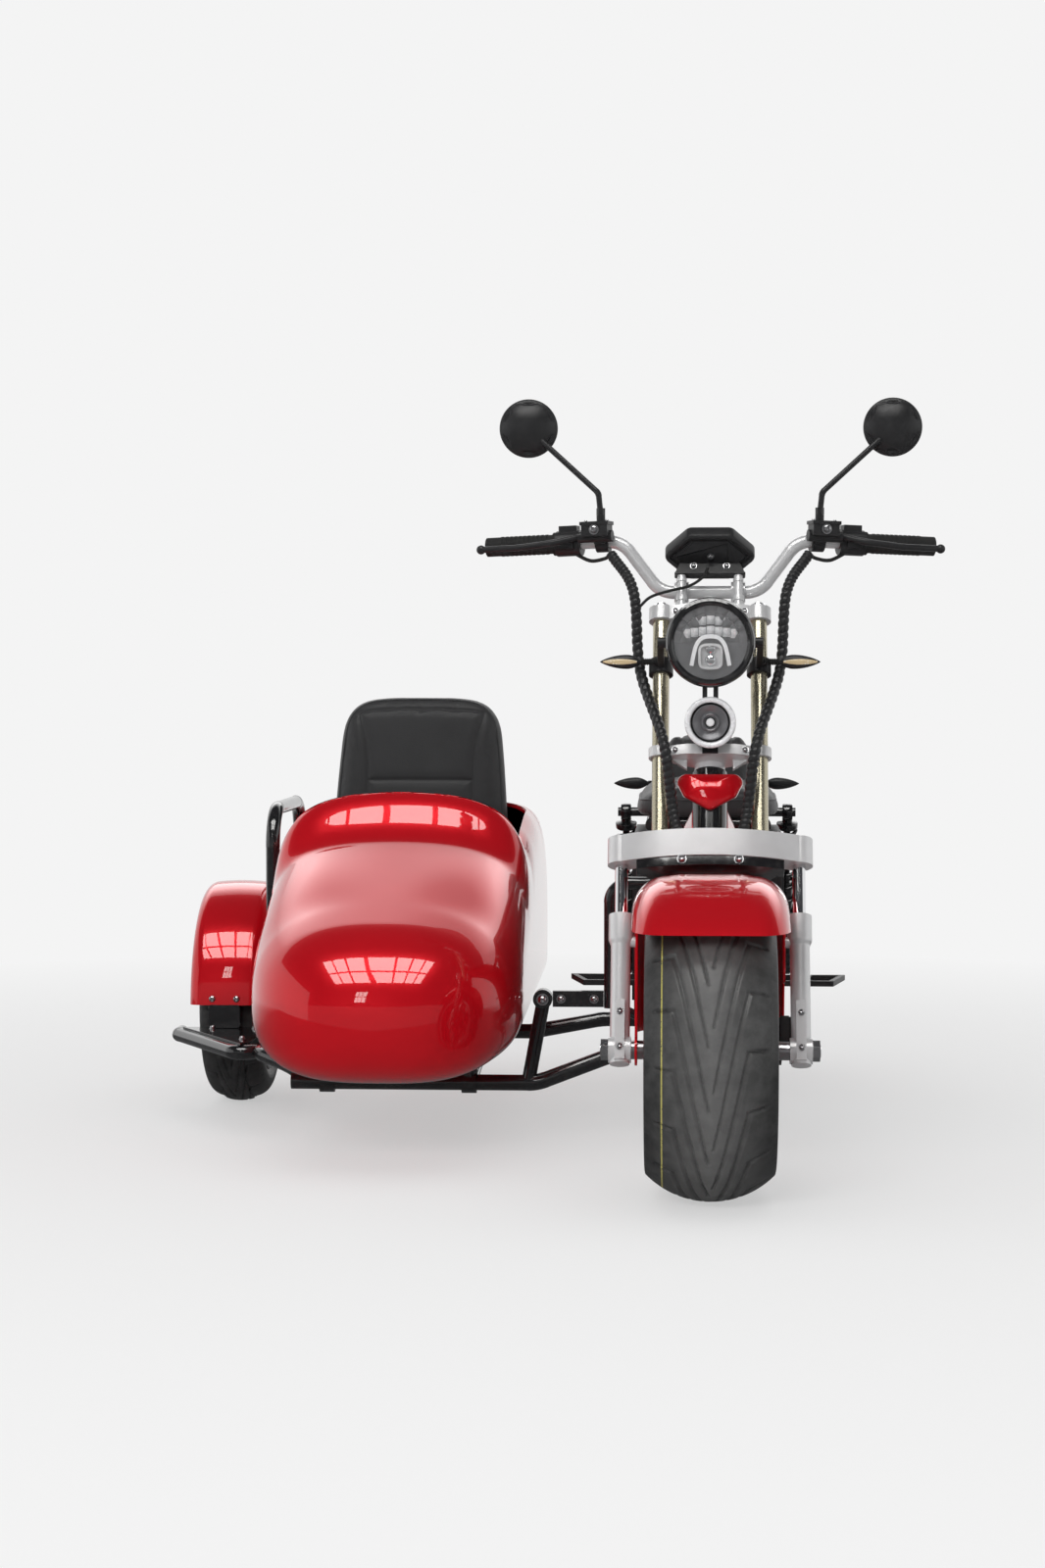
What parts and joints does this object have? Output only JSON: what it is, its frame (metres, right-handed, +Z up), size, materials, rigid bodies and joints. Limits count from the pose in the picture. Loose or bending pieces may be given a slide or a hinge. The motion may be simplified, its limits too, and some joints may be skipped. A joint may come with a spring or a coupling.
{
  "type": "electric motorcycle with sidecar",
  "caption": "Fat-tyred electric chopper motorcycle with a raked two-stage fork and an open red sidecar tub on its right, that steers and rolls on its own wheels.",
  "frame": {"origin": "middle of the vehicle's outline seen from above, on the floor that its tyres stand on", "axes": "+Y towards the rear, so the rider faces -Y; +X to the rider's left, away from the sidecar; +Z up"},
  "size_m": [1.4161, 1.893, 1.3072],
  "materials": {
    "red_paint": "gloss candy red with clear coat",
    "black_paint": "gloss black",
    "black_plastic": "satin black",
    "tyre": "matte",
    "rubber": "matte",
    "cast_alloy": "satin cast",
    "chrome": "polished",
    "olive_paint": "gloss",
    "steel": "brushed",
    "vinyl": "grained",
    "mirror": "silvered",
    "lens": "clear",
    "amber": "gloss",
    "tail_red": "gloss",
    "board": "painted"
  },
  "bodies": {
    "chassis": {"head_tube": "black_paint", "head_cowl": "red_paint", "spine": "red_paint", "frame": "black_paint", "footpegs": "black_paint", "battery_case": "black_plastic", "rider_seat": "vinyl", "passenger_seat": "vinyl", "swingarm": "black_paint", "rear_shocks": "chrome", "rear_axle": "steel", "rear_fender": "red_paint", "tail_light": "tail_red", "rear_indicators": "black_plastic", "sidecar_chassis": "black_paint", "sidecar_link": "black_paint", "sidecar_body": "red_paint", "seat_base": "board", "seat_cushion": "vinyl", "seat_back": "vinyl", "grab_rail": "black_paint", "step_plate": "black_paint", "sidecar_axle": "steel", "sidecar_fender": "red_paint", "fender_brackets": "black_paint"},
    "steering": {"front_axle": "steel", "fork_legs": "cast_alloy", "fork_stanchions": "chrome", "lower_yoke": "black_paint", "fork_bridge": "cast_alloy", "fork_upper_tubes": "olive_paint", "middle_clamp": "cast_alloy", "top_clamp": "cast_alloy", "steering_stem": "steel", "handlebar": "steel", "grips": "rubber", "switch_pods": "black_plastic", "brake_masters": "black_plastic", "brake_levers": "black_paint", "mirror_stalks": "black_paint", "mirror_shells": "black_plastic", "mirror_glasses": "mirror", "display": "black_plastic", "headlight_bracket": "black_paint", "headlight_shell": "black_paint", "headlight_lens": "lens", "horn": "chrome", "front_indicators": "black_plastic", "front_fender": "red_paint", "brake_caliper": "black_paint", "cable_looms": "rubber"},
    "front_wheel": {"front_tyre": "tyre", "front_rim": "cast_alloy", "front_brake_disc": "steel"},
    "rear_wheel": {"rear_tyre": "tyre", "rear_rim": "cast_alloy"},
    "sidecar_wheel": {"sidecar_tyre": "tyre", "sidecar_rim": "cast_alloy"}
  },
  "joints": [
    {"name": "steering", "type": "hinge", "parent": "chassis", "child": "steering", "pos_m": [0.309, -0.50263, 0.58358], "axis": [0, 0.4067, 0.9135], "range_deg": [-35, 35]},
    {"name": "front_wheel_spin", "type": "hinge", "parent": "steering", "child": "front_wheel", "pos_m": [0.309, -0.711, 0.2385], "axis": [1, 0, 0], "continuous": true},
    {"name": "rear_wheel_spin", "type": "hinge", "parent": "chassis", "child": "rear_wheel", "pos_m": [0.309, 0.669, 0.2385], "axis": [1, 0, 0], "continuous": true},
    {"name": "sidecar_wheel_spin", "type": "hinge", "parent": "chassis", "child": "sidecar_wheel", "pos_m": [-0.599, 0.339, 0.199], "axis": [1, 0, 0], "continuous": true}
  ]
}
